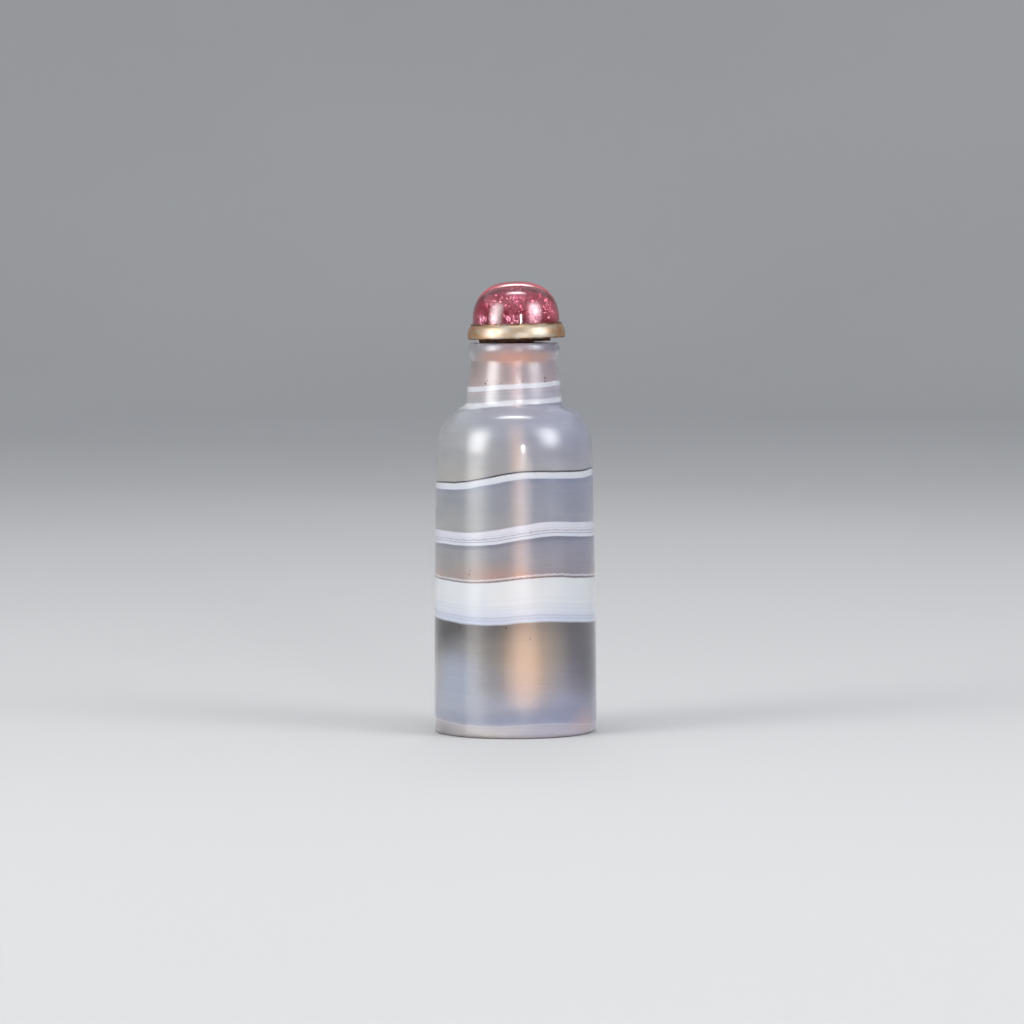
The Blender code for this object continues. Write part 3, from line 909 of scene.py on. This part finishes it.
# %% [markdown]
# The cork
#
# The cork is bark: brown, full of darker pores. Its head is pressed flat on the lip, so that only a dark
# line of it shows, and its plug is squeezed into the bore, behind clear stone. The imported cork keeps a
# gap to both, as solids must, so the outline is moved here: the head's underside goes down to the lip,
# and the plug swells to the bore. The renderer finds little of the light that reaches the plug through
# the stone, so it is given a glow of its own to stand for it. The head's bark is also coloured much
# darker than the plug's, as painted shade of the gap under the collar, and the plug's lighter bark is
# painted light, like its glow.

# %% The bark
IN_THE_MOUTH = 60.9          # below this height in mm the cork is inside the stone


def cork_material():
    made, tree, shader = new_material("cork_bark", srgb(120, 72, 46))
    point = millimetres(tree)
    z = put(tree, "ShaderNodeSeparateXYZ", {0: point}).outputs[2]
    pores = ramp(tree, grain(tree, point, 1.2, 4.0), 0.35, 0.65)
    # The head's bark is much darker than the plug's: painted shade of the gap under the collar. The plug's
    # lighter bark, like its glow, is painted light that comes through the stone.
    outside = mix(tree, pores, srgb(40, 23, 17), srgb(94, 56, 38))
    inside = mix(tree, pores, srgb(196, 128, 102), srgb(222, 156, 128))
    below = ramp(tree, z, IN_THE_MOUTH - 0.1, IN_THE_MOUTH, 1.0, 0.0, smooth=False)
    fill(tree, shader, {
        "Base Color": mix(tree, below, outside, inside),
        "Roughness": ramp(tree, grain(tree, point, 2.4, 3.0), 0.3, 0.7, 0.75, 0.95),
        "Emission Color": mix(tree, below, (0.0, 0.0, 0.0), inside), "Emission Strength": 0.9})
    return made


CORK = cork_material()
CORK_STANDS = turning_frame("stopper_cork")
cork_outline = packed_outline("stopper_cork", CORK_STANDS)
print("cork outline in mm:", [(round(r / MM, 2), round(z / MM, 2)) for r, z in cork_outline])

# %% Squeeze the cork and turn it
PRESSED = 0.2 * MM           # how far the soft head spreads down on to the lip
head_radius = max(radius for radius, _ in cork_outline)
head_foot = min(height for radius, height in cork_outline if radius > head_radius - SAME_POINT)
level_with_foot = [abs(height - head_foot) < SAME_POINT for _, height in cork_outline]
cork_outline = [(radius, height - PRESSED if under else height)
                for (radius, height), under in zip(cork_outline, level_with_foot)]
plug_foot = cork_outline[0][1]
plug_top = level_with_foot.index(True)
SWELL = (                    # radius of the squeezed plug in mm, and height in mm above its foot
    (2.55, 0.9),
    (3.04, 1.2),
)
NECK_IN = (                  # the same under the head, and depth in mm below the head
    (3.04, 1.0),
    (2.5, 0.6),
)
cork_outline[plug_top:plug_top] = (
    [(radius * MM, plug_foot + height * MM) for radius, height in SWELL]
    + [(radius * MM, head_foot - depth * MM) for radius, depth in NECK_IN])
cork = turned_piece("bark_cork", cork_outline, 96, CORK_STANDS, CORK, wobble=0.04 * MM, wobble_size=0.8 * MM)
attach(cork, "root")
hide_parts("stopper_cork")

# %% [markdown]
# The spoon
#
# The spoon is bone, yellowed by snuff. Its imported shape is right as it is, because it only shows as a
# warm blur behind the stone, so it keeps its node and gets a better material. It too glows, for the
# same reason as the plug: brightest in the bowl, which hangs behind the clearest part of the stone.

# %% Give the spoon its bone
BOWL_ENDS, STEM_FROM = 15.0, 24.0            # heights in mm between which the bowl's glow becomes the stem's
TIP_GLOW, BOWL_GLOW = (0.70, 0.48, 0.33), (0.56, 0.40, 0.26)
NECK_GLOW = (0.56, 0.41, 0.36)               # in the neck, above 52 mm


def bone_material():
    made, tree, shader = new_material("bone_polished", srgb(240, 190, 140))
    point = millimetres(tree)
    lengthways = grain(tree, stretch(tree, point, (1.0, 1.0, 0.15)), 1.6, 4.0)
    colour = mix(tree, ramp(tree, lengthways, 0.35, 0.65), srgb(240, 176, 124), srgb(250, 206, 158))
    height = put(tree, "ShaderNodeSeparateXYZ", {0: point}).outputs[2]
    glow = mix(tree, ramp(tree, height, 5.0, BOWL_ENDS), TIP_GLOW, BOWL_GLOW)
    stem = mix(tree, 1.0, colour, (1.0, 0.95, 0.95), blend="MULTIPLY")
    glow = mix(tree, ramp(tree, height, BOWL_ENDS, STEM_FROM), glow, stem)
    glow = mix(tree, ramp(tree, height, 49.0, 52.0), glow, NECK_GLOW)
    fill(tree, shader, {
        "Base Color": colour, "Roughness": ramp(tree, grain(tree, point, 1.6, 3.0), 0.3, 0.7, 0.35, 0.5),
        "Emission Color": glow, "Emission Strength": 2.4})
    return made


BONE = bone_material()
spoon_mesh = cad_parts["stopper_spoon"].data
spoon_mesh.materials.clear()
spoon_mesh.materials.append(BONE)
print("the spoon's glow changes between", BOWL_ENDS, "and", STEM_FROM, "mm up")

# %% [markdown]
# The studio
#
# A clear, shiny stone shows its surroundings, so the surroundings are kept plain: a pale floor that
# curves up into a pale wall all round, under a soft, even sky. A lamp that only made the picture bright
# could stand anywhere, but each lamp here shows as a mirror image, so it is placed by that image in the
# photograph. A patch on the shoulder or the stone gives the direction its light came from, and the
# patch's blurred outline gives the lamp's size and how it fades towards its edges. The front lamp has a
# bright core and a low neighbour, which draw the thin line of light down the bottle.

# %% Lay the floor
FLOOR_RADIUS, SWEEP, WALL_TOP = 1.3, 0.7, 1.1       # metres


def studio_bowl():
    """A pale round floor whose edge sweeps up far behind the object, the same from every side."""
    curve = [radians(5 * step) for step in range(19)]
    outline = [(0.0, 0.0), (0.15, 0.0), (FLOOR_RADIUS / 2, 0.0)]
    outline += [(FLOOR_RADIUS + SWEEP * sin(a), SWEEP * (1 - cos(a))) for a in curve]
    outline += [(FLOOR_RADIUS + SWEEP, WALL_TOP)]
    work = spun(outline, 96)
    bmesh.ops.remove_doubles(work, verts=work.verts, dist=1e-5)
    made, tree, shader = new_material("studio_paper", (0.8, 0.8, 0.8))
    point = put(tree, "ShaderNodeTexCoord").outputs["Object"]
    tone = ramp(tree, grain(tree, point, 3.0, 2.0), 0.3, 0.7)
    paper = mix(tree, tone, (0.50, 0.498, 0.495), (0.52, 0.518, 0.515))
    fill(tree, shader, {"Base Color": paper, "Roughness": 0.8})
    return add_piece("studio_floor", work, made)


floor = studio_bowl()

# %% Hang the lamps
AIM = Vector((0, 0, 0.035))  # the lamps face the middle of the bottle


def soft_box(name, azimuth, elevation, distance, size, brightness, colour=(1.0, 1.0, 1.0),
             edges=(0.45, 0.45, 0.45)):
    """A light that faces the bottle and fades towards its edges, as a lamp behind cloth does. Azimuth 0
    is over the camera, and more is to the right. brightness is that of its middle. edges are the shares
    of it that fade at the sides, below and above."""
    data = bpy.data.lights.new(name, "AREA")
    data.shape = "RECTANGLE"
    data.size, data.size_y = size
    data.energy = brightness * pi * size[0] * size[1]
    data.color = colour
    data.use_nodes = True
    tree = data.node_tree
    across, upwards, _ = put(tree, "ShaderNodeSeparateXYZ",
                             {0: put(tree, "ShaderNodeNewGeometry").outputs["Parametric"]}).outputs
    from_side = calc(tree, "MINIMUM", across, calc(tree, "SUBTRACT", 1.0, across))
    fades = ramp(tree, from_side, 0.0, edges[0])
    fades = calc(tree, "MULTIPLY", fades, ramp(tree, upwards, 0.0, edges[1]))
    fades = calc(tree, "MULTIPLY", fades, ramp(tree, upwards, 1.0 - edges[2], 1.0, 1.0, 0.0))
    fill(tree, tree.nodes["Emission"], {"Strength": fades})
    light = bpy.data.objects.new(name, data)
    side, up = radians(azimuth), radians(elevation)
    light.location = AIM + distance * Vector((sin(side) * cos(up), -cos(side) * cos(up), sin(up)))
    light.rotation_euler = (AIM - light.location).to_track_quat("-Z", "Y").to_euler()
    light.visible_camera = False
    bpy.context.scene.collection.objects.link(light)
    print(name, "is", round(data.energy, 2), "watts")


soft_box("left_box", -57, 25, 0.75, (0.70, 0.74), 8.4, (1.0, 0.985, 0.97), edges=(0.5, 0.13, 0.55))
soft_box("right_box", 57, 27, 0.75, (0.66, 0.70), 8.3, (0.97, 0.985, 1.0), edges=(0.5, 0.42, 0.55))
soft_box("front_lamp", 13.0, 7.6, 0.9, (0.12, 0.25), 21.0, edges=(0.45, 0.40, 0.12))
soft_box("lamp_core", 13.0, 7.6, 0.88, (0.036, 0.25), 30.0, edges=(0.35, 0.40, 0.12))
soft_box("low_lamp", 13.0, -0.3, 0.9, (0.10, 0.056), 3.6, edges=(0.4, 0.1, 0.3))
soft_box("top_box", 0, 88, 0.6, (0.46, 0.16), 12.0)
soft_box("back_box", 180, 45, 0.7, (0.46, 0.16), 8.0)

# %% Fill the air with pale light
world = bpy.data.worlds.new("studio_air")
world.use_nodes = True
sky = world.node_tree
fill(sky, sky.nodes["Background"], {"Color": (0.82, 0.86, 0.93, 1.0), "Strength": 0.78})
bpy.context.scene.world = world
bpy.context.scene.view_settings.view_transform = "Standard"
print("view transform:", bpy.context.scene.view_settings.view_transform)

# %% [markdown]
# The sizes
#
# The dressed bottle must not be bigger than the imported one. The dressed bottle is no bigger than the
# imported one: its outline's radius is held to the imported one's widest.

# %% Finish
bpy.context.view_layer.update()
